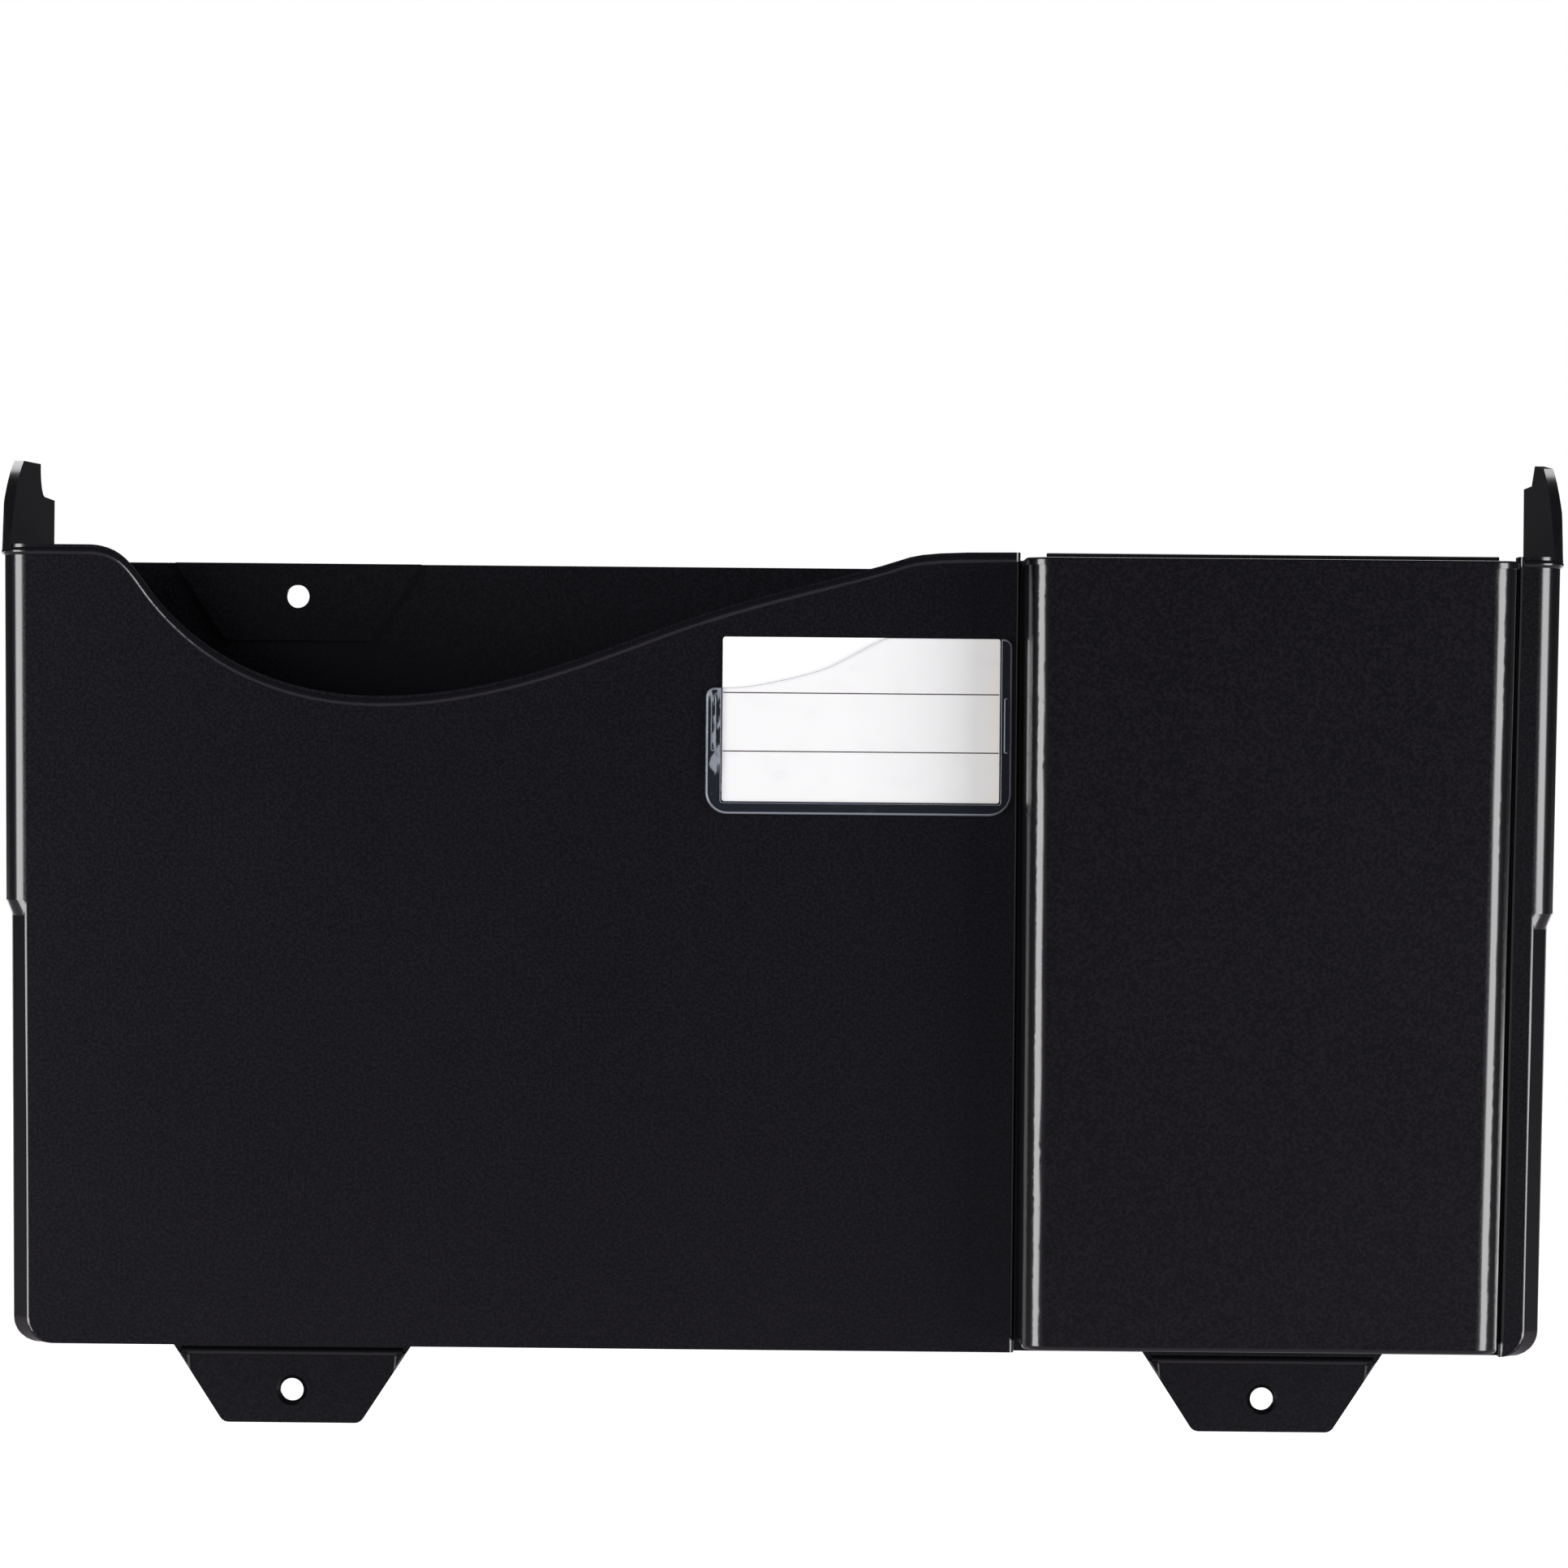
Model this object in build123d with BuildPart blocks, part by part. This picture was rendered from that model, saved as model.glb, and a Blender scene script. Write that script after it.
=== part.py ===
from build123d import *
import os
from math import cos, radians, sin, sqrt, tan

# A moulded wall pocket for files, with a lift-off pouch and a clear label holder on its front.
# The wall is the plane y = 0, the front faces -Y, and the origin is midway between the two lower
# screw holes, on the wall. All sizes are in millimetres.
os.makedirs("parts", exist_ok=True)
inch = 25.4

# Overall sizes
rim_width = 424.4  # over the bead round the rim
pocket_depth = 93.4  # wall to front face
pocket_height = 216.4  # bottom to rim
pouch_stand_off = 26.55  # pouch front beyond the pocket's front face, without its lip

# Walls of the pocket
wall = 2.5
side_draft = 0.75  # degrees, each side
corner_radius = 6.5  # upright front corners above the ledge, and inside all the way down
lower_corner_cut = 4.4  # below the ledge the same corners are cut flat
lower_corner_round = 1.3  # on each side of that cut
bottom_corner_radius = 7.0
ledge_below_rim = 96.5  # the sides step in here, so that one pocket nests over another
side_step = 1.7
ledge_height = 4.2

# Front edge: a scoop between two level stretches
scoop_depth = 40.2
scoop_from_left = 23.6  # level stretch at the left end
scoop_to_seat = 1.8  # level stretch beside the pouch
scoop_shape = (  # shares of the scoop's run and depth
    (0.061, 0.261),
    (0.133, 0.689),
    (0.229, 0.945),
    (0.339, 1.0),
    (0.519, 0.766),
    (0.693, 0.376),
    (0.869, 0.077),
)

# Bead along the rim
bead_radius = 1.0  # half its height
bead_out = 0.9
bead_drop = 1.9  # its middle, under the edge
bead_root = 1.2  # how far it goes into the wall
bead_land = 0.25  # flat above and below, before it rounds over

# Ears: the side walls carried on above the rim, nearly flush with the bead at their foot
ear_height_left = 23.8
ear_height_right = 25.2
ear_lean = 22.0  # how far back the front edge has swept at the top
ear_bulge = (7.5, 13.5)  # a point of that edge, back and up from its foot
ear_tilt = 0.8  # their outer faces lean in by this much at the top
ear_skin_sink = 0.1  # their outer faces start this far inside the bead's
horn_end_left = 53.0  # depth at which each horn ends, behind the front face
horn_end_right = 40.0
horn_rise_left = 1.0  # each horn's top rises this much towards its back end
horn_rise_right = 1.8
seat_height_left = 16.0  # level seats behind the horns, above the rim
seat_height_right = 21.8
ear_end_left = 80.0
ear_end_right = 62.0
horn_root_radius = 8.0  # left ear
horn_back_slant = 6.0  # right ear: its back end slopes down over this depth
back_top_drop = 1.0  # the back wall stops this far under the rim

# Screw holes, and the tabs and recesses that link one pocket to the next below it
hole_pitch = 11 * inch
stack_gap = 12.2  # clear height between two linked pockets
hole_diameter = 6.6
countersink_diameter = 8.8
countersink_angle = 90.0
hole_ring_diameter = 11.6
hole_ring_height = 0.3
tab_reach = 32.1  # below the pocket's bottom
tab_hole_to_end = 9.4
tab_half_width = 40.6  # at the pocket's bottom
tab_slant = 33.0  # degrees from upright
tab_end_radius = 3.0
tab_bead_drop = 11.5  # stop bead, below the pocket's bottom
tab_bead_radius = 1.2
tab_side_gap = 0.8  # round the tab, in the recess of the pocket below
tab_back_gap = 0.4
shoulder_width = 3.4  # bevelled shoulders where the stop bead meets the slanted edges
shoulder_drop = 6.0
shoulder_height = 1.4
shoulder_taper = 20.0  # degrees

# Seat of the pouch, a recess in the front wall
seat_width = 134.8  # at the rim
seat_side_margin = 11.9  # from the pocket's side, at the rim
seat_right_draft = 0.98  # degrees; the left edge is upright
seat_depth = 5.0
seat_edge_round = 1.2
seat_edge_bulge = 0.32  # of the rounding, where its arc crosses the diagonal
seat_edge_cutter = 1.0  # how far the rounding's cutter runs past the edge
seat_wall_drop = 2.0  # the wall behind the pouch stops this far under the rim

# Pouch
pouch_wall = 2.2
pouch_gap = 0.3  # between the pouch and the wall it hangs on
pouch_side_gap = 0.8
pouch_flange = 2.2  # the back plate is this much wider than the box, at the right
pouch_draft = 1.0  # degrees
pouch_rim_drop = 2.3
pouch_bottom_lift = 2.9
pouch_corner_radius = 6.4
pouch_bottom_round = 1.2
pouch_inner_bottom_round = 0.4  # at the front of the floor, inside
pouch_lip_out = 0.7
pouch_lip_height = 2.0
pouch_lip_round = 0.6
hook_margin_left = 7.4  # from the seat's edges
hook_margin_right = 5.1
hook_thickness = 1.8
hook_reach = 14.0  # the tongue behind the wall
hook_round = 0.8

# Label card, and the clear holder that takes its size
card_width = 75.0
card_height = 44.5
card_thickness = 0.35
card_corner_radius = 0.8
card_gap = 0.225  # through the thickness, each side
card_side_gap = 0.3
card_top_drop = 23.5  # below the rim
holder_border_left = 4.1
holder_border_right = 3.0
holder_border_bottom = 3.1
holder_back = 0.8
holder_lens = 1.0
holder_corner_radius = 6.0
holder_top_radius = 2.4
holder_edge_round = 0.7
pane_recess = 0.3  # the lens over the card is this much lower than its border
pane_margin = 0.5  # between the card and the border's inner edge
pane_taper = 30.0  # degrees, of the pane's and the clips' sides
holder_to_seat = 2.0
holder_step_drop = 13.8  # the left end is this much lower than the right
holder_step_shape = ((0.36, 0.16), (0.65, 0.43), (0.94, 0.91))  # shares of the sloping edge
holder_step_run = 43.5
holder_step_start = 5.0  # level stretch at the left end
peg_diameter = 3.0
peg_gap = 0.2
peg_head_diameter = 5.2
peg_head_height = 1.0
peg_inset = 14.0  # from each side of the card
peg_height = 13.0  # above the card's lower edge
clip_width = 1.4  # raised strip on each side border
clip_round = 0.6
clip_length = 15.0
clip_height = 0.5
clip_drop = 16.0  # below the holder's top

# Heights, depths and half widths that follow from the sizes above
bottom_z = tab_reach - tab_hole_to_end
rim_z = bottom_z + pocket_height
ledge_z = rim_z - ledge_below_rim
ears_end_z = rim_z + max(ear_height_left + horn_rise_left, ear_height_right + horn_rise_right)
upper_hole_z = pocket_height + stack_gap
front_y = -pocket_depth
rim_half_width = rim_width / 2 - bead_out
seat_right = rim_half_width - seat_side_margin
seat_left = seat_right - seat_width
seat_y = front_y + seat_depth
inner_seat_y = seat_y + wall
over = 5.0  # how far cutting shapes run past what they cut


def half_width(z, below_ledge):
    """Half the outside width at height z."""
    step = side_step if below_ledge else 0
    return rim_half_width - (rim_z - z) * tan(radians(side_draft)) - step


def tub_section(z, half, inset, cut_corners):
    """Plan outline of the tub at one height, moved in from the outside by inset."""
    with BuildSketch(Plane.XY.offset(z)) as section:
        with Locations((0, front_y / 2)):
            Rectangle(2 * (half - inset), pocket_depth - 2 * inset)
        front = section.vertices().group_by(Axis.Y)[0]
        if cut_corners:
            chamfer(front, lower_corner_cut)
            cut_ends = section.vertices().group_by(Axis.Y)[0] + section.vertices().group_by(Axis.Y)[1]
            fillet(cut_ends, lower_corner_round)
        else:
            fillet(front, corner_radius - inset)
    return section.sketch


def tub(inset, floor_z, cut_corners):
    """Whole tub as one block: its outside when inset is 0, its hollow when inset is the wall."""
    rounding = bottom_corner_radius - inset
    ledge_foot = ledge_z - ledge_height
    turn_z = floor_z + rounding
    turn_half = half_width(turn_z, True)
    turn = []
    for degrees in range(0, 91, 15):
        z = floor_z + rounding * (1 - sin(radians(degrees)))
        half = turn_half - rounding * (1 - cos(radians(degrees)))
        turn.append(tub_section(z, half, inset, cut_corners))
    ear_top = tub_section(ears_end_z, rim_half_width, inset, False)
    rim = tub_section(rim_z, rim_half_width, inset, False)
    ledge_top = tub_section(ledge_z, half_width(ledge_z, False), inset, False)
    ledge_bottom = tub_section(ledge_foot, half_width(ledge_foot, True), inset, False)
    lower_top = tub_section(ledge_z, half_width(ledge_z, True), inset, cut_corners)
    with BuildPart() as block:
        loft([ear_top, rim], ruled=True)
        loft([rim, ledge_top], ruled=True)
        loft([ledge_top, ledge_bottom], ruled=True)
        loft([lower_top, turn[0]], ruled=True)
        loft(turn)
    return block.part


def seat_outline(y, margin, low_z, high_z):
    """Outline of the pouch's seat on the plane at y, grown by margin, between two heights."""
    lean = tan(radians(seat_right_draft))
    with BuildSketch(Plane.XZ.offset(-y)) as outline:
        with BuildLine():
            Polyline(
                (seat_left - margin, low_z),
                (seat_left - margin, high_z),
                (seat_right + margin - (rim_z - high_z) * lean, high_z),
                (seat_right + margin - (rim_z - low_z) * lean, low_z),
                close=True,
            )
        make_face()
    return outline.sketch


def seat_edge_section(side, z):
    """What rounding one upright edge of the seat takes off the front face at height z."""
    lean = (rim_z - z) * tan(radians(seat_right_draft))
    edge_x = seat_left if side < 0 else seat_right - lean
    bulge = seat_edge_bulge * seat_edge_round
    outer_x = edge_x + side * seat_edge_round
    with BuildSketch(Plane.XY.offset(z)) as section:
        with BuildLine():
            ThreePointArc(
                (outer_x, front_y),
                (edge_x + side * bulge, front_y + bulge),
                (edge_x, front_y + seat_edge_round),
            )
            Polyline(
                (edge_x, front_y + seat_edge_round),
                (edge_x - side * seat_edge_cutter, front_y + seat_edge_round),
                (edge_x - side * seat_edge_cutter, front_y - seat_edge_cutter),
                (outer_x, front_y - seat_edge_cutter),
                (outer_x, front_y),
            )
        make_face()
    return section.sketch


def tab_outline(y, side, margin, end_z, top_z, shift):
    """Outline of a link tab on the plane at y, grown by margin and moved up by shift."""
    slope = tan(radians(tab_slant))
    end_half = tab_half_width - (bottom_z + shift - end_z) * slope + margin
    top_half = tab_half_width - (bottom_z + shift - top_z) * slope + margin
    middle = side * hole_pitch / 2
    with BuildSketch(Plane.XZ.offset(-y)) as outline:
        with BuildLine():
            Polyline(
                (middle - end_half, end_z),
                (middle - top_half, top_z),
                (middle + top_half, top_z),
                (middle + end_half, end_z),
                close=True,
            )
        make_face()
        fillet(outline.vertices().group_by(Axis.Y)[0], tab_end_radius)
    return outline.sketch


def above_ear(side, ear_height, horn_end, rise, seat_height, ear_end, root_radius):
    """Side outline of everything above one ear, drawn as depth behind the front and height."""
    origin = (side * (rim_half_width + bead_out + over), front_y, rim_z)
    top = (horn_end, ear_height + rise)
    root = root_radius or horn_back_slant
    with BuildSketch(Plane(origin=origin, x_dir=(0, 1, 0), z_dir=(1, 0, 0))) as outline:
        with BuildLine():
            ThreePointArc((0, 0), ear_bulge, (ear_lean, ear_height))
            Line((ear_lean, ear_height), top)
            if root_radius:
                Line(top, (horn_end, seat_height + root))
                RadiusArc((horn_end, seat_height + root), (horn_end + root, seat_height), -root)
            else:
                Line(top, (horn_end + root, seat_height))
            Polyline(
                (horn_end + root, seat_height),
                (ear_end, seat_height),
                (ear_end, -back_top_drop),
                (pocket_depth + over, -back_top_drop),
                (pocket_depth + over, ear_height + 2 * over),
                (-over, ear_height + 2 * over),
                (-over, 0),
                (0, 0),
            )
        make_face()
    return outline.sketch


def scoop_points(drop):
    """The scoop's points along the front edge, all lowered by drop, from left to right."""
    start = -rim_half_width + scoop_from_left
    end = seat_left - scoop_to_seat
    run = end - start
    level = rim_z - drop
    middle = [(start + across * run, level - down * scoop_depth) for across, down in scoop_shape]
    return [(start, level), *middle, (end, level)]


def rim_bead(side, end_x, scoop):
    """Bead along one side from the wall, round the corner and along the front to end_x."""
    level = rim_z - bead_drop
    side_x = side * rim_half_width
    corner_x = side * (rim_half_width - corner_radius)
    corner_y = front_y + corner_radius
    slope = corner_radius / sqrt(2)
    halfway = (corner_x + side * slope, corner_y - slope, level)
    with BuildPart() as bead:
        with BuildLine() as path:
            Line((side_x, -bead_radius, level), (side_x, corner_y, level))
            ThreePointArc((side_x, corner_y, level), halfway, (corner_x, front_y, level))
            if scoop:
                low = [(x, front_y, z) for x, z in scoop_points(bead_drop)]
                Line((corner_x, front_y, level), low[0])
                Spline(*low, tangents=((1, 0, 0), (1, 0, 0)))
                Line(low[-1], (end_x, front_y, level))
            else:
                Line((corner_x, front_y, level), (end_x, front_y, level))
        across = Plane(origin=path.line @ 0, x_dir=(side, 0, 0), z_dir=path.line % 0)
        with BuildSketch(across) as section:
            with BuildLine():
                ThreePointArc((bead_land, -bead_radius), (bead_out, 0), (bead_land, bead_radius))
                Polyline(
                    (bead_land, bead_radius),
                    (-bead_root, bead_radius),
                    (-bead_root, -bead_radius),
                    (bead_land, -bead_radius),
                )
            make_face()
        sweep(path=path.line)
    return bead.part


# The pocket's hollow stays clear of the pouch's seat and of the recesses that take the tabs of the
# next pocket up: both bulge into it by one wall.
recess_depth = wall + tab_back_gap
recess_end_z = upper_hole_z - tab_hole_to_end - tab_side_gap
above_z = ears_end_z + over
hollow_block = tub(wall, bottom_z + wall, False)
with BuildPart() as hollow:
    add(hollow_block)
    seat_bulge = seat_outline(inner_seat_y, wall, bottom_z - over, above_z)
    extrude(seat_bulge, amount=pocket_depth, mode=Mode.SUBTRACT)
    for side in (-1, 1):
        pad = tab_outline(0, side, tab_side_gap + wall, recess_end_z - wall, above_z, upper_hole_z)
        extrude(pad, amount=recess_depth + wall, mode=Mode.SUBTRACT)

# Pocket: the tub with its rim, ears, seat and link tabs, one moulding
outside_block = tub(0, bottom_z, True)
card_left = seat_left - holder_to_seat - holder_border_right - card_side_gap - card_width
card_right = card_left + card_width
card_bottom = rim_z - card_top_drop - card_height
peg_places = [(x, card_bottom + peg_height) for x in (card_left + peg_inset, card_right - peg_inset)]
inner_half = rim_half_width - wall
ear_cuts = (
    (-1, ear_height_left, horn_end_left, horn_rise_left, seat_height_left, ear_end_left, horn_root_radius),
    (1, ear_height_right, horn_end_right, horn_rise_right, seat_height_right, ear_end_right, 0),
)
ear_reach = rim_half_width + bead_out + over

# Outer skin of the ears and of the side walls' top, rising out of the bead that runs under it
skin_half_width = rim_half_width + bead_out - ear_skin_sink
skin_foot = tub_section(rim_z - bead_drop, skin_half_width, 0, False)
skin_top = tub_section(ears_end_z, skin_half_width - ear_tilt, 0, False)
with BuildPart() as ear_skin:
    loft([skin_foot, skin_top], ruled=True)
    with BuildSketch(Plane.XY.offset(rim_z - bead_drop)) as between:
        with Locations((0, front_y / 2)):
            Rectangle(2 * inner_half, pocket_depth + 2 * over)
    extrude(amount=above_z, mode=Mode.SUBTRACT)
    for side, *ear_sizes in ear_cuts:
        extrude(above_ear(side, *ear_sizes), amount=-side * ear_reach, mode=Mode.SUBTRACT)

with BuildPart() as pocket:
    add(outside_block)
    add(hollow.part, mode=Mode.SUBTRACT)
    seat_cut = seat_outline(seat_y, 0, bottom_z - over, above_z)
    extrude(seat_cut, amount=seat_depth + over, mode=Mode.SUBTRACT)
    for side in (-1, 1):
        rounding = [seat_edge_section(side, z) for z in (bottom_z - over, above_z)]
        loft(rounding, ruled=True, mode=Mode.SUBTRACT)

    # The front's edge, between the ears
    with BuildSketch(Plane.XZ.offset(-inner_seat_y - wall)) as above_front:
        with BuildLine():
            points = scoop_points(0)
            Spline(*points, tangents=((1, 0), (1, 0)))
            Polyline(
                points[-1],
                (seat_left, rim_z),
                (seat_left, rim_z - seat_wall_drop),
                (seat_right, rim_z - seat_wall_drop),
                (seat_right, rim_z),
                (inner_half, rim_z),
                (inner_half, above_z),
                (-inner_half, above_z),
                (-inner_half, rim_z),
                points[0],
            )
        make_face()
    extrude(amount=2 * seat_depth + wall + over, mode=Mode.SUBTRACT)

    # Ears
    for side, *ear_sizes in ear_cuts:
        extrude(above_ear(side, *ear_sizes), amount=-side * ear_reach, mode=Mode.SUBTRACT)
    add(ear_skin.part)

    # Recesses behind the back wall for the tabs of the pocket above, each with a screw hole
    for side in (-1, 1):
        recess = tab_outline(over, side, tab_side_gap, recess_end_z, above_z, upper_hole_z)
        extrude(recess, amount=over + recess_depth, mode=Mode.SUBTRACT)
        hole_at = Plane(origin=(side * hole_pitch / 2, 0, upper_hole_z), z_dir=(0, -1, 0))
        with BuildSketch(hole_at) as upper_hole:
            Circle(hole_diameter / 2)
        extrude(amount=recess_depth + wall + over, mode=Mode.SUBTRACT)

    # Link tabs, in the plane of the back wall, with their stop beads and screw holes
    slant = tan(radians(tab_slant))
    bead_z = bottom_z - tab_bead_drop
    bead_half = tab_half_width - tab_bead_drop * slant
    for side in (-1, 1):
        middle = side * hole_pitch / 2
        tab = tab_outline(0, side, 0, -tab_hole_to_end, bottom_z + wall, 0)
        extrude(tab, amount=wall)
        with BuildSketch(Plane(origin=(middle, -wall, bead_z), x_dir=(0, 1, 0), z_dir=(1, 0, 0))) as rib:
            Circle(tab_bead_radius)
        extrude(amount=bead_half - tab_bead_radius, both=True)
        for edge in (-1, 1):
            with BuildSketch(Plane.XZ.offset(wall)) as shoulder:
                with BuildLine():
                    Polyline(
                        (middle + edge * bead_half, bead_z),
                        (middle + edge * (bead_half - shoulder_width), bead_z),
                        (middle + edge * (bead_half - shoulder_drop * slant), bead_z - shoulder_drop),
                        close=True,
                    )
                make_face()
            extrude(amount=shoulder_height, taper=shoulder_taper)
        ring_at = Plane(origin=(middle, -wall, 0), z_dir=(0, -1, 0))
        with BuildSketch(ring_at) as ring:
            Circle(hole_ring_diameter / 2)
        extrude(amount=hole_ring_height)
        with Locations(ring_at.offset(hole_ring_height)):
            hole_radii = (hole_diameter / 2, countersink_diameter / 2)
            CounterSinkHole(*hole_radii, depth=2 * wall, counter_sink_angle=countersink_angle)

    # Holes for the label holder's pegs
    with BuildSketch(Plane.XZ.offset(-front_y - wall - over)) as peg_holes:
        with Locations(*peg_places):
            Circle(peg_diameter / 2 + peg_gap)
    extrude(amount=wall + 2 * over, mode=Mode.SUBTRACT)

left_bead = rim_bead(-1, seat_left - seat_edge_round, True)
right_bead = rim_bead(1, seat_right + seat_edge_round, False)
with BuildPart() as file_pocket:
    add(pocket.part)
    add(left_bead)
    add(right_bead)
file_pocket.part.label = "file_pocket"

# Pouch: a shallow box with a back plate that hooks over the wall of its seat
pouch_back_y = seat_y - pouch_gap
pouch_depth = pouch_back_y - (front_y - pouch_stand_off)
pouch_rim_z = rim_z - pouch_rim_drop
pouch_bottom_z = bottom_z + pouch_bottom_lift
plate_left = seat_left + pouch_side_gap


def plate_right(z):
    """Right edge of the pouch's back plate at height z."""
    return seat_right - pouch_side_gap - (rim_z - z) * tan(radians(seat_right_draft))


def pouch_block(inset, low_z, high_z):
    """The pouch's box, moved in from its outside by inset, between two heights."""
    with BuildPart() as block:
        with BuildSketch(Plane.XZ.offset(-pouch_back_y)) as outline:
            with BuildLine():
                Polyline(
                    (plate_left + inset, pouch_bottom_z + inset),
                    (plate_left + inset, rim_z + over),
                    (plate_right(rim_z + over) - pouch_flange - inset, rim_z + over),
                    (plate_right(pouch_bottom_z) - pouch_flange - inset, pouch_bottom_z + inset),
                    close=True,
                )
            make_face()
        extrude(amount=pouch_depth - inset, taper=pouch_draft)
        front = block.faces().sort_by(Axis.Y)[0]
        sides = front.edges().sort_by(Axis.X)
        fillet([sides[0], sides[-1]], pouch_corner_radius - inset)
        front = block.faces().sort_by(Axis.Y)[0]
        bottom_round = max(pouch_bottom_round - inset, pouch_inner_bottom_round)
        fillet(front.edges().sort_by(Axis.Z)[0], bottom_round)
        with BuildSketch(Plane.XY.offset(low_z)) as kept:
            Rectangle(3 * rim_width, 6 * pocket_depth)
        extrude(amount=high_z - low_z, mode=Mode.INTERSECT)
    return block.part


pouch_outside = pouch_block(0, pouch_bottom_z, pouch_rim_z)
pouch_inside = pouch_block(pouch_wall, pouch_bottom_z + pouch_wall, rim_z + pouch_wall)
pouch_lip = pouch_block(-pouch_lip_out, pouch_rim_z - pouch_lip_height, pouch_rim_z)
hook_left = seat_left + hook_margin_left
hook_right = seat_right - hook_margin_right
hook_under = rim_z - seat_wall_drop + pouch_gap
tongue_y = inner_seat_y + pouch_gap
with BuildPart() as pouch:
    add(pouch_lip)
    lip_edges = pouch.faces().sort_by(Axis.Z)[-1].outer_wire().edges()
    fillet(lip_edges.filter_by(lambda edge: edge.center().Y < pouch_back_y - pouch_wall), pouch_lip_round)
    add(pouch_outside)
    add(pouch_inside, mode=Mode.SUBTRACT)
    with BuildSketch(Plane.XZ.offset(-pouch_back_y)) as back_plate:
        with BuildLine():
            Polyline(
                (plate_left, pouch_bottom_z),
                (plate_left, pouch_rim_z),
                (plate_right(pouch_rim_z), pouch_rim_z),
                (plate_right(pouch_bottom_z), pouch_bottom_z),
                close=True,
            )
        make_face()
    extrude(amount=pouch_wall)
    with BuildSketch(Plane(origin=(hook_left, 0, 0), x_dir=(0, 1, 0), z_dir=(1, 0, 0))) as hook:
        with BuildLine():
            Polyline(
                (pouch_back_y, pouch_rim_z - hook_reach),
                (pouch_back_y, hook_under),
                (tongue_y, hook_under),
                (tongue_y, hook_under - hook_reach),
                (tongue_y + hook_thickness, hook_under - hook_reach),
                (tongue_y + hook_thickness, hook_under + hook_thickness),
                (pouch_back_y - hook_thickness, hook_under + hook_thickness),
                (pouch_back_y - hook_thickness, pouch_rim_z - hook_reach),
                close=True,
            )
        make_face()
        fillet(hook.vertices().group_by(Axis.Y)[-1], hook_round)
    extrude(amount=hook_right - hook_left)
pouch.part.label = "pouch"

# Label holder: a clear sleeve open at the top, pegged to the pocket's front
holder_left = card_left - card_side_gap - holder_border_left
holder_right = card_right + card_side_gap + holder_border_right
holder_top = card_bottom + card_height
holder_bottom = card_bottom - card_side_gap - holder_border_bottom
slot_thickness = card_thickness + 2 * card_gap
holder_thickness = holder_back + slot_thickness + holder_lens
step_left = holder_left + holder_step_start
step_z = holder_top - holder_step_drop
step_middle = [
    (step_left + across * holder_step_run, step_z + up * holder_step_drop)
    for across, up in holder_step_shape
]
step_end = (step_left + holder_step_run, holder_top)
with BuildPart() as label_holder:
    with BuildSketch(Plane.XZ.offset(-front_y)) as holder_outline:
        with BuildLine():
            Line((holder_left, step_z), (step_left, step_z))
            Spline((step_left, step_z), *step_middle, step_end, tangents=((1, 0), (1, 0.5)))
            Polyline(
                step_end,
                (holder_right, holder_top),
                (holder_right, holder_bottom),
                (holder_left, holder_bottom),
                (holder_left, step_z),
            )
        make_face()
        by_side = holder_outline.vertices().group_by(Axis.X)
        upper_corners = [by_side[end].sort_by(Axis.Y)[-1] for end in (0, -1)]
        fillet(upper_corners, holder_top_radius)
        fillet(holder_outline.vertices().group_by(Axis.Y)[0], holder_corner_radius)
    extrude(amount=holder_thickness)
    fillet(label_holder.faces().sort_by(Axis.Y)[0].edges(), holder_edge_round)
    slot_left = card_left - card_side_gap
    slot_bottom = card_bottom - card_side_gap
    with BuildSketch(Plane.XZ.offset(-front_y + holder_back)) as slot:
        with Locations((slot_left, slot_bottom)):
            slot_size = (card_width + 2 * card_side_gap, card_height + 2 * card_side_gap + over)
            Rectangle(*slot_size, align=(Align.MIN, Align.MIN))
    extrude(amount=slot_thickness, mode=Mode.SUBTRACT)
    with BuildSketch(Plane.XZ.offset(-front_y + holder_thickness)) as pane:
        with Locations((card_left - pane_margin, card_bottom - pane_margin)):
            pane_size = (card_width + 2 * pane_margin, card_height + pane_margin + over)
            Rectangle(*pane_size, align=(Align.MIN, Align.MIN))
        fillet(pane.vertices().group_by(Axis.Y)[0], card_corner_radius)
    extrude(amount=-pane_recess, taper=pane_taper, mode=Mode.SUBTRACT)
    with BuildSketch(Plane.XZ.offset(-front_y + holder_thickness)) as clips:
        clip_z = holder_top - clip_drop - clip_length / 2
        left_clip_x = holder_left + holder_border_left / 2
        right_clip_x = holder_right - holder_border_right / 2
        with Locations((left_clip_x, clip_z), (right_clip_x, clip_z)):
            RectangleRounded(clip_width, clip_length, clip_round)
    extrude(amount=clip_height, taper=pane_taper)
    with BuildSketch(Plane.XZ.offset(-front_y)) as pegs:
        with Locations(*peg_places):
            Circle(peg_diameter / 2)
    extrude(amount=-wall)
    with BuildSketch(Plane.XZ.offset(-front_y - wall)) as peg_heads:
        with Locations(*peg_places):
            Circle(peg_head_diameter / 2)
    extrude(amount=-peg_head_height)
label_holder.part.label = "label_holder"

# Label card, standing in the sleeve
with BuildPart() as label_card:
    with BuildSketch(Plane.XZ.offset(-front_y + holder_back + card_gap)) as card_outline:
        with Locations((card_left, card_bottom)):
            Rectangle(card_width, card_height, align=(Align.MIN, Align.MIN))
        fillet(card_outline.vertices(), card_corner_radius)
    extrude(amount=card_thickness)
label_card.part.label = "label_card"

export_step(file_pocket.part, "parts/file_pocket.step")
export_step(pouch.part, "parts/pouch.step")
export_step(label_holder.part, "parts/label_holder.step")
export_step(label_card.part, "parts/label_card.step")
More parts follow.
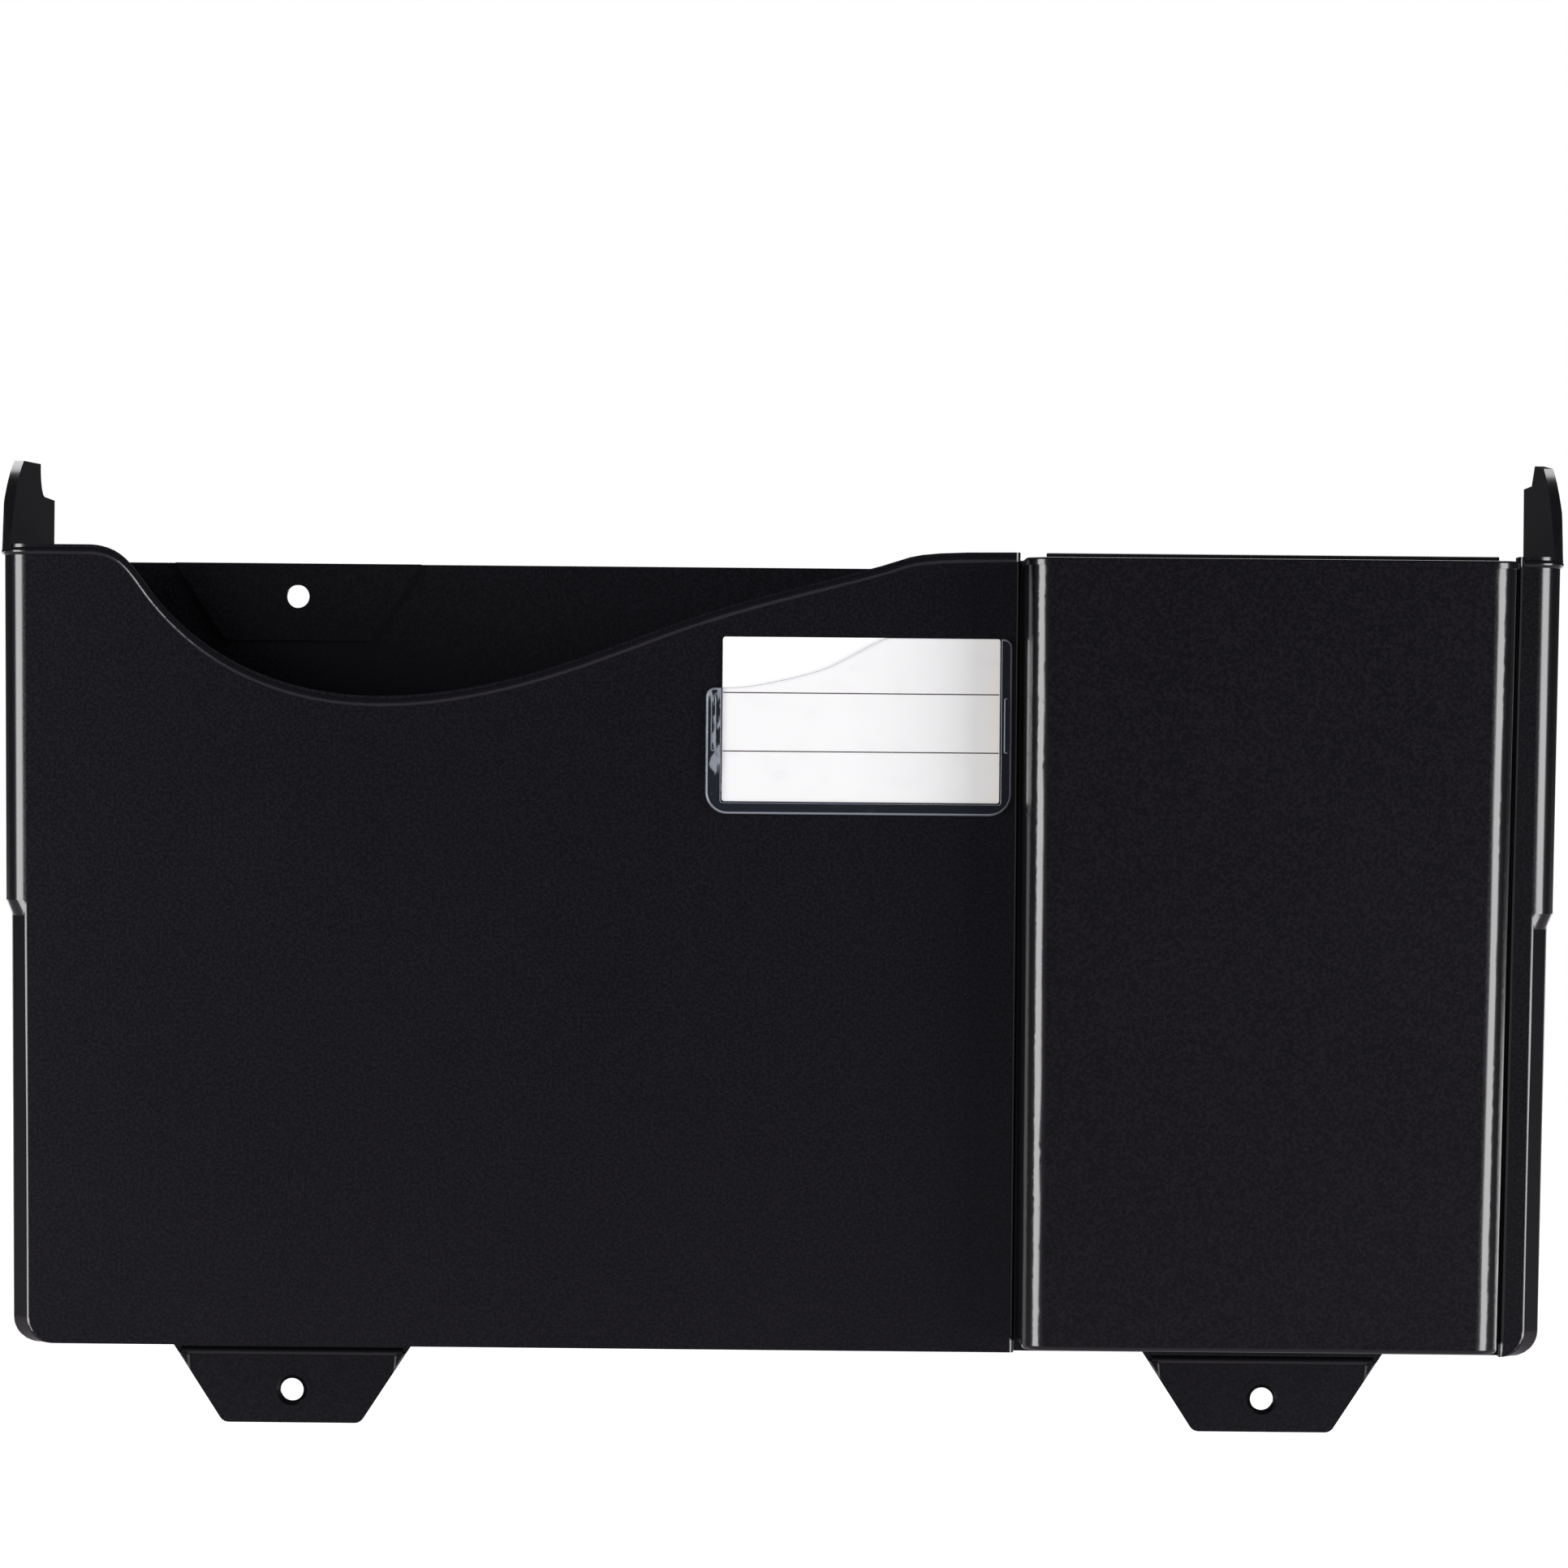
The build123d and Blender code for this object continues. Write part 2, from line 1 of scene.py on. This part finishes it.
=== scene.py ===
# %% [markdown]
# # A wall-hung file rack
# This lesson dresses a finished CAD model of a black plastic wall pocket for files. The CAD model
# already has every solid at its true size, so nothing here moves or resizes it. What is left to do
# is what Blender is good at: the moulded grain of the plastic, the clear sleeve, the printed card,
# the light and the camera. The CAD box is noted first.

# %% Load the CAD model as a fixed frame
import math

import bpy
from mathutils import Matrix, Vector


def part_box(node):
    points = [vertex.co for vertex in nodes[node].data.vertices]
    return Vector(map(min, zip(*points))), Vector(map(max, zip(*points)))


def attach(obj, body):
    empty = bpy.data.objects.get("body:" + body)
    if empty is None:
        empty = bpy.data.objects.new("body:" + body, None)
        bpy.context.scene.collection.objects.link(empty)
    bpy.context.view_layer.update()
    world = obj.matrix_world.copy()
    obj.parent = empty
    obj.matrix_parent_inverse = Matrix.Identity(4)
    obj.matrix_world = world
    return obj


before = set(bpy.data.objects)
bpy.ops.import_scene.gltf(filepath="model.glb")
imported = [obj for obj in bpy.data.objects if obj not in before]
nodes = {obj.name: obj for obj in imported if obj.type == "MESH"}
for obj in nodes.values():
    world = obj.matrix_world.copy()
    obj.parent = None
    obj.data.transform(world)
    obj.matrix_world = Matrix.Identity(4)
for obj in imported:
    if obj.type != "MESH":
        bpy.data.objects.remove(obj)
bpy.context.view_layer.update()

print("CAD nodes:", sorted(nodes))

# %% Places read from the frame
MM = 0.001
pocket_low, pocket_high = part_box("file_pocket")
card_low, card_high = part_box("label_card")
print("pocket, mm:", [round((b - a) / MM, 1) for a, b in zip(pocket_low, pocket_high)])

# %% [markdown]
# ## Shader maths as plain expressions
# A procedural material is mostly arithmetic on masks. Wired by hand it is a wall of Math nodes, so
# one small class wraps a socket and lets Python's own operators add those nodes. `1 - mask` works
# as well as `mask - 1`, because the reflected operators are there too. Colours never go through
# Math nodes, which would turn them grey: they go through Mix nodes.


# %% A socket that does arithmetic
class Wire:
    """One output socket of a material's node tree, with arithmetic."""

    def __init__(self, tree, socket):
        self.tree = tree
        self.socket = socket

    def node(self, kind, settings=None, output=0, **values):
        """Adds any node: settings first, then a value or a link for each named or numbered socket."""
        made = self.tree.nodes.new(kind)
        for name, value in (settings or {}).items():
            setattr(made, name, value)
        for name, value in values.items():
            by_number = name.startswith("in") and name[2:].isdigit()
            key = int(name[2:]) if by_number else name.replace("_", " ")
            if isinstance(value, Wire):
                self.tree.links.new(value.socket, made.inputs[key])
            else:
                made.inputs[key].default_value = value
        return Wire(self.tree, made.outputs[output])

    def math(self, operation, *others):
        inputs = {f"in{i}": value for i, value in enumerate((self, *others))}
        return self.node("ShaderNodeMath", {"operation": operation}, **inputs)

    def __add__(self, other):
        return self.math("ADD", other)

    def __sub__(self, other):
        return self.math("SUBTRACT", other)

    def __mul__(self, other):
        return self.math("MULTIPLY", other)

    def __truediv__(self, other):
        return self.math("DIVIDE", other)

    def __pow__(self, other):
        return self.math("POWER", other)

    def __abs__(self):
        return self.math("ABSOLUTE")

    __radd__ = __add__
    __rmul__ = __mul__

    def __rsub__(self, other):
        return self.node("ShaderNodeMath", {"operation": "SUBTRACT"}, in0=other, in1=self)

    def __rtruediv__(self, other):
        return self.node("ShaderNodeMath", {"operation": "DIVIDE"}, in0=other, in1=self)

    def above(self, limit, soft=0.02):
        """1 where this is over limit, 0 below it, with a soft step between."""
        return ((self - (limit - soft / 2)) / soft).math("MINIMUM", 1.0).math("MAXIMUM", 0.0)

    def mix(self, low, high):
        """low where this is 0, high where it is 1, for two colours."""
        return self.node(
            "ShaderNodeMix",
            {"data_type": "RGBA", "clamp_factor": True},
            output=2,
            in0=self,
            in6=low,
            in7=high,
        )

    def noise(self, scale, detail=2.0, roughness=0.5):
        """Noise over this vector, about scale cells to the metre."""
        return self.node(
            "ShaderNodeTexNoise",
            None,
            Vector=self,
            Scale=scale,
            Detail=detail,
            Roughness=roughness,
        )

    def parts(self):
        """The x, y and z of this vector."""
        split = self.node("ShaderNodeSeparateXYZ", None, Vector=self).socket.node
        return [Wire(self.tree, socket) for socket in split.outputs]


# %% A material and its starting wires
class Finish:
    """A new material with its shader, object coordinates and object normal ready to use."""

    def __init__(self, name, **constants):
        self.material = bpy.data.materials.new(name)
        self.material.use_nodes = True
        self.tree = self.material.node_tree
        self.shader = self.tree.nodes["Principled BSDF"]
        coordinates = self.tree.nodes.new("ShaderNodeTexCoord")
        self.place = Wire(self.tree, coordinates.outputs["Object"])
        self.normal = Wire(self.tree, coordinates.outputs["Normal"])
        for socket, value in constants.items():
            self.shader.inputs[socket.replace("_", " ")].default_value = value

    def feed(self, socket, wire):
        self.tree.links.new(wire.socket, self.shader.inputs[socket])

    def bump(self, height, depth_mm, strength=1.0):
        """Sends a height, 0 to 1, through a Bump node as relief depth_mm deep."""
        depth = depth_mm * MM
        normal = height.node("ShaderNodeBump", None, Strength=strength, Distance=depth, Height=height)
        self.feed("Normal", normal)

    def flatness(self):
        """1 on faces that look straight along an axis, 0 on the rounded edges between them."""
        x, y, z = [abs(part) for part in self.normal.parts()]
        return x.math("MAXIMUM", y).math("MAXIMUM", z).above(0.985, 0.02)


def dress(name, finish):
    """Gives a CAD node one finish all over."""
    mesh = nodes[name].data
    mesh.materials.clear()
    mesh.materials.append(finish.material)
    print(name, "wears", finish.material.name)


# %% [markdown]
# ## Black moulded plastic
# The pocket is an injection moulding. Its flat faces carry a fine pebble, and it is smooth where it
# turns a corner, so the rounded edges shine while the faces stay matt. One way to make the grain is
# to displace the mesh, which would take millions of faces for a relief of a few hundredths of a
# millimetre. A Bump node says the same thing for nothing. The grain is two sizes of cell, and a
# mask made from the surface normal fades it out on the edges.


# %% Moulded plastic, as a rule
FACE_ROUGHNESS = 0.20
EDGE_ROUGHNESS = 0.20
GRAIN_MM = 0.75  # across one pebble
GRAIN_DEPTH_MM = 0.018
# Painted highlight: the tops of the pebbles are painted paler, by this factor of the light tone.
PAINTED_PEAK_HIGHLIGHT = 2.6  # how much paler the tops of the pebbles are


def moulded_plastic(name, dark, light, seed):
    """Black plastic between two tones, pebbled on its flat faces and glossy where it turns."""
    finish = Finish(name, IOR=1.59, Coat_Roughness=0.16, Coat_IOR=1.5)
    offset = (seed, seed * 2, seed * 3)
    here = finish.place.node("ShaderNodeVectorMath", {"operation": "ADD"}, in0=finish.place, in1=offset)
    face = finish.flatness()
    cells_per_m = 1 / (GRAIN_MM * MM)
    pebble = here.node("ShaderNodeTexVoronoi", {"feature": "SMOOTH_F1"}, Vector=here, Scale=cells_per_m)
    fine = here.noise(cells_per_m * 2.2, detail=3.0)
    grain = (1 - pebble) * 0.65 + fine * 0.35
    cloud = here.noise(9.0, detail=3.0)
    mottle = here.noise(90.0, detail=4.0)
    tone = (cloud * 0.6 + mottle * 0.4).above(0.5, 0.5)
    # Painted highlight: pale spots on the flat faces stand for the lit tops of the pebbles; they also
    # roughen the surface a little.
    painted_peak_highlight = here.noise(cells_per_m, detail=1.5).above(0.52, 0.22) * face
    speck = here.noise(420.0, detail=1.0).above(0.86, 0.01) * face
    base = tone.mix((*dark, 1), (*light, 1))
    with_painted_highlight = (painted_peak_highlight * 0.8).mix(base, tuple(PAINTED_PEAK_HIGHLIGHT * part for part in light) + (1,))
    finish.feed("Base Color", (speck * 0.25).mix(with_painted_highlight, (0.30, 0.29, 0.28, 1)))
    smear = here.noise(22.0, detail=5.0, roughness=0.6)
    matt = face * (FACE_ROUGHNESS - EDGE_ROUGHNESS) + EDGE_ROUGHNESS
    finish.feed("Roughness", matt + (smear - 0.5) * 0.04 + painted_peak_highlight * 0.03)
    finish.feed("Coat Weight", (1 - face) * 0.9)
    finish.bump(grain * face + (1 - face) * fine * 0.05, GRAIN_DEPTH_MM)
    return finish


# %% Pocket and pouch
pocket_black = moulded_plastic(
    "black_pebbled_plastic", (0.0018, 0.0016, 0.0025), (0.0032, 0.0028, 0.0044), 0.013
)
pouch_black = moulded_plastic(
    "black_pouch_plastic", (0.0019, 0.0016, 0.0024), (0.0034, 0.0028, 0.0042), 0.041
)
dress("file_pocket", pocket_black)
dress("pouch", pouch_black)

# %% [markdown]
# ## The clear sleeve
# The label holder is clear plastic a millimetre thick. Real refraction would be the obvious
# choice, but light then reaches the card behind it only by chance paths, and the card turns grey
# and noisy. Seen straight on a thin sheet hardly bends light, so the sheet is mostly see-through by
# its alpha instead. Its rounded edges, where a real sheet gathers light, are nearly solid and shiny,
# with a painted highlight: their colour is painted pale. Pale streaks on the left strip are painted
# glints.

# %% Clear plastic
clear = Finish("clear_sleeve_plastic", IOR=1.57, Coat_Roughness=0.04)
edge = 1 - clear.flatness()
scuff = clear.place.noise(160.0, detail=6.0, roughness=0.7)
handled = scuff.above(0.60, 0.10)
rim_light = clear.place.node("ShaderNodeLayerWeight", None, output=1, Blend=0.35)
x, y, z = clear.place.parts()
SOFT_EDGE = 0.4 * MM
right_of_left = x.above(card_low.x, SOFT_EDGE)
left_of_right = 1 - x.above(card_high.x, SOFT_EDGE)
over_card = right_of_left * left_of_right * z.above(card_low.z, SOFT_EDGE)
border = 1 - over_card
upright = clear.place.node("ShaderNodeMapping", None, Vector=clear.place, Scale=(1.0, 1.0, 0.3))
painted_glint_streaks = upright.noise(420.0, detail=3.0)
# Painted glints: pale streaks on the strip left of the card.
painted_glint = painted_glint_streaks.above(0.60, 0.06) * (1 - right_of_left)
# Painted highlight: the rounded edges and the glints are painted pale; the handling scuffs add a trace of
# real wear.
tone = (edge * 0.75 + painted_glint * 0.9 + handled * 0.05).math("MINIMUM", 1.0)
clear.feed("Base Color", tone.mix((0.040, 0.046, 0.064, 1), (0.34, 0.37, 0.42, 1)))
solid = edge * 0.78 + border * 0.42 + painted_glint * 0.5 + rim_light * 0.08 + handled * 0.015 + 0.012
clear.feed("Alpha", solid.math("MINIMUM", 1.0))
clear.feed("Roughness", scuff * 0.10 + 0.04 + handled * 0.12)
clear.bump(scuff, 0.01, 0.5)
dress("label_holder", clear)

# %% [markdown]
# ## The label card
# The card is pale uncoated stock, a little warmer at its right-hand edge. It gives off a little light
# of its own, so that it stays white beside so much black. A blank card would look like a hole in
# the rack, so two ruled lines are printed on it. Paper is never flat white, so long fibres are
# drawn by a noise stretched one way and pressed into the surface a few microns deep.

# %% Card stock
stock = Finish("ruled_card_stock", Specular_IOR_Level=0.25, Emission_Strength=0.40)
x, y, z = stock.place.parts()
across = (x - card_low.x) / (card_high.x - card_low.x)
stretched = stock.place.node("ShaderNodeMapping", None, Vector=stock.place, Scale=(1.0, 1.0, 0.25))
fibres = stretched.noise(2600.0, detail=4.0, roughness=0.65)
blotch = stock.place.noise(60.0, detail=3.0)
# Darker and warmer towards the right-hand edge, mottled by the blotch noise.
warmer_to_right = across ** 22.0 * (0.15 + blotch * 0.7)
paper = warmer_to_right.math("MINIMUM", 1.0).mix((0.78, 0.78, 0.78, 1), (0.78, 0.69, 0.60, 1))
shaded = (fibres.above(0.56, 0.25) * 0.06).mix(paper, (0.70, 0.68, 0.65, 1))
stock.feed("Base Color", shaded)
stock.feed("Emission Color", shaded)
stock.feed("Roughness", fibres * 0.15 + 0.72)
stock.bump(fibres, 0.012)
dress("label_card", stock)

# %% [markdown]
# ## Ruled lines by Geometry Nodes
# The card's two printed lines repeat by a rule: the same thin line, one pitch apart. Two boxes made
# by hand would do, but a tree with named inputs can be told how many lines, how far apart and how
# long, and it gives the same mesh each time. The tree makes a column of points, puts one flat bar
# on each, realises them and gives them their ink.

# %% Ink
ink = Finish("printed_ink", Roughness=0.6)
blot = ink.place.noise(900.0, detail=3.0)
ink.feed("Base Color", blot.above(0.5, 0.4).mix((0.055, 0.040, 0.036, 1), (0.10, 0.075, 0.068, 1)))
ink.bump(ink.place.noise(4000.0, detail=2.0), 0.004)


# %% A tree with named inputs
def new_tree(name, inputs):
    """A geometry tree with a Geometry input, the given inputs and a Geometry output."""
    tree = bpy.data.node_groups.new(name, "GeometryNodeTree")
    tree.interface.new_socket("Geometry", in_out="INPUT", socket_type="NodeSocketGeometry")
    for title, (kind, value) in inputs.items():
        socket = tree.interface.new_socket(title, in_out="INPUT", socket_type=kind)
        if value is not None:
            socket.default_value = value
    tree.interface.new_socket("Geometry", in_out="OUTPUT", socket_type="NodeSocketGeometry")
    start = tree.nodes.new("NodeGroupInput")
    end = tree.nodes.new("NodeGroupOutput")
    return tree, start, end


def add_node(tree, kind, settings=None, **values):
    """Adds a geometry node: settings first, then a value or a socket for each input."""
    made = tree.nodes.new(kind)
    for name, value in (settings or {}).items():
        setattr(made, name, value)
    for name, value in values.items():
        key = name.replace("_", " ")
        if isinstance(value, bpy.types.NodeSocket):
            tree.links.new(value, made.inputs[key])
        else:
            made.inputs[key].default_value = value
    return made


def grow(name, tree, base_mesh, values, body):
    """Runs a tree on base_mesh, keeps its result as a plain mesh, and lets it ride on body."""
    seed_object = bpy.data.objects.new(name + "_seed", base_mesh)
    bpy.context.scene.collection.objects.link(seed_object)
    modifier = seed_object.modifiers.new("grow", "NODES")
    modifier.node_group = tree
    for item in tree.interface.items_tree:
        if item.in_out == "INPUT" and item.name in values:
            modifier[item.identifier] = values[item.name]
    evaluated = seed_object.evaluated_get(bpy.context.evaluated_depsgraph_get())
    mesh = bpy.data.meshes.new_from_object(evaluated)
    bpy.data.objects.remove(seed_object)
    mesh.name = name
    piece = bpy.data.objects.new(name, mesh)
    bpy.context.scene.collection.objects.link(piece)
    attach(piece, body)
    print(name, "has", len(mesh.polygons), "faces")


# %% The tree of ruled lines
tree, start, end = new_tree(
    "ruled_lines",
    {
        "Lines": ("NodeSocketInt", 2),
        "First": ("NodeSocketVector", None),
        "Pitch": ("NodeSocketVector", None),
        "Bar": ("NodeSocketVector", None),
        "Ink": ("NodeSocketMaterial", None),
    },
)
column = add_node(
    tree,
    "GeometryNodeMeshLine",
    {"mode": "OFFSET"},
    Count=start.outputs["Lines"],
    Start_Location=start.outputs["First"],
    Offset=start.outputs["Pitch"],
)
bar = add_node(tree, "GeometryNodeMeshCube", None, Size=start.outputs["Bar"])
placed = add_node(
    tree, "GeometryNodeInstanceOnPoints", None, Points=column.outputs["Mesh"], Instance=bar.outputs["Mesh"]
)
real = add_node(tree, "GeometryNodeRealizeInstances", None, Geometry=placed.outputs["Instances"])
inked = add_node(
    tree, "GeometryNodeSetMaterial", None, Geometry=real.outputs["Geometry"], Material=start.outputs["Ink"]
)
tree.links.new(inked.outputs["Geometry"], end.inputs["Geometry"])

# %% Two ruled lines on the card
line_side = 0.2 * MM
line_size = (card_high.x - card_low.x - 2 * line_side, 0.02 * MM, 0.32 * MM)
line_pitch = 15.8 * MM
first_line = (
    (card_low.x + card_high.x) / 2,
    card_low.y + line_size[1] / 4,
    card_high.z - 15.1 * MM,
)
grow(
    "ruled_lines",
    tree,
    bpy.data.meshes.new("ruled_lines_base"),
    {
        "Lines": 2,
        "First": first_line,
        "Pitch": (0.0, 0.0, -line_pitch),
        "Bar": line_size,
        "Ink": ink.material,
    },
    "card",
)

# %% [markdown]
# ## Floor and light
# A gloss-edged black object is drawn by what it reflects. Two big soft boxes stand in front of it to
# left and right, well round to the sides: they run a bright line down each upright rounded edge and
# leave the flat faces dark. Nothing shines from straight ahead. The world looks white to the camera
# but is nearly black to everything else, so the ears and the edges that turn right away stay dark.

# %% Floor
floor_finish = Finish("pale_floor", Roughness=0.8, Emission_Strength=1.20)
floor_tone = floor_finish.place.noise(3.0, detail=3.0)
floor_colour = floor_tone.mix((0.90, 0.90, 0.90, 1), (0.93, 0.93, 0.93, 1))
floor_finish.feed("Base Color", floor_colour)
floor_finish.feed("Emission Color", floor_colour)
floor_finish.bump(floor_finish.place.noise(400.0, detail=3.0), 0.05)
floor_z = pocket_low.z - 0.28
floor_half = 6.0
floor_front = 1.2  # the floor starts well behind the rack, whose black edges would mirror it
corners = [
    (-floor_half, floor_front),
    (floor_half, floor_front),
    (floor_half, floor_half),
    (-floor_half, floor_half),
]
floor_mesh = bpy.data.meshes.new("floor")
floor_mesh.from_pydata([(x, y, floor_z) for x, y in corners], [], [(0, 1, 2, 3)])
floor_mesh.materials.append(floor_finish.material)
floor = bpy.data.objects.new("floor", floor_mesh)
bpy.context.scene.collection.objects.link(floor)


# %% Soft boxes
def soft_box(name, place, target, size, power):
    """A rectangular area light at place, facing target, of size (width, height) in metres."""
    data = bpy.data.lights.new(name, "AREA")
    data.shape = "RECTANGLE"
    data.size, data.size_y = size
    data.energy = power
    light = bpy.data.objects.new(name, data)
    light.location = place
    light.rotation_euler = (Vector(target) - Vector(place)).to_track_quat("-Z", "Y").to_euler()
    bpy.context.scene.collection.objects.link(light)


BOX_AWAY = 1.5
BOX_ROUND = math.radians(48)
middle = Vector((0.0, (pocket_low.y + pocket_high.y) / 2, (pocket_low.z + pocket_high.z) / 2))
for name, side in (("left_box", -1), ("right_box", 1)):
    place = middle + Vector((side * math.sin(BOX_ROUND), -math.cos(BOX_ROUND), 0.0)) * BOX_AWAY
    soft_box(name, place, middle, (0.82, 1.0), 14.0)
soft_box("back_box", (0.0, 1.1, 1.7), middle, (1.6, 0.8), 10.0)

# %% World
world = bpy.data.worlds.new("studio")
bpy.context.scene.world = world
world.use_nodes = True
world_tree = world.node_tree
background = world_tree.nodes["Background"]
heading = Wire(world_tree, world_tree.nodes.new("ShaderNodeTexCoord").outputs["Generated"])
direction = heading.parts()
behind = direction[1].above(0.05, 0.5)
below = (0 - direction[2]).above(0.14, 0.22)
seen = Wire(world_tree, world_tree.nodes.new("ShaderNodeLightPath").outputs["Is Camera Ray"])
level_glow = behind.mix((0.060, 0.058, 0.070, 1), (0.030, 0.030, 0.032, 1))
glow = below.mix(level_glow, (0.27, 0.25, 0.28, 1))
world_tree.links.new(seen.mix(glow, (1.0, 1.0, 1.0, 1)).socket, background.inputs["Color"])
background.inputs["Strength"].default_value = 1.0
print("soft boxes at", round(math.degrees(BOX_ROUND)), "degrees to each side")

# %% [markdown]
# ## Camera
# The rack is looked at from straight in front, a little above its middle, with a long lens from
# about a metre and a half. The camera is rolled by half a degree.

# %% Camera
stand_off = 1.400
camera_data = bpy.data.cameras.new("camera")
camera_data.sensor_width = 36.0
camera_data.lens = 118.9
camera = bpy.data.objects.new("camera", camera_data)
camera.location = (0.00995, pocket_low.y - stand_off, 0.1759)
turn_left = Matrix.Rotation(math.radians(0.36), 3, "Z")
level = Matrix.Rotation(math.radians(90), 3, "X")
roll = Matrix.Rotation(math.radians(0.52), 3, "Z")
camera.rotation_euler = (turn_left @ level @ roll).to_euler()
bpy.context.scene.collection.objects.link(camera)
bpy.context.scene.camera = camera
bpy.context.scene.view_settings.view_transform = "Standard"
print("lens, mm:", round(camera_data.lens, 1))
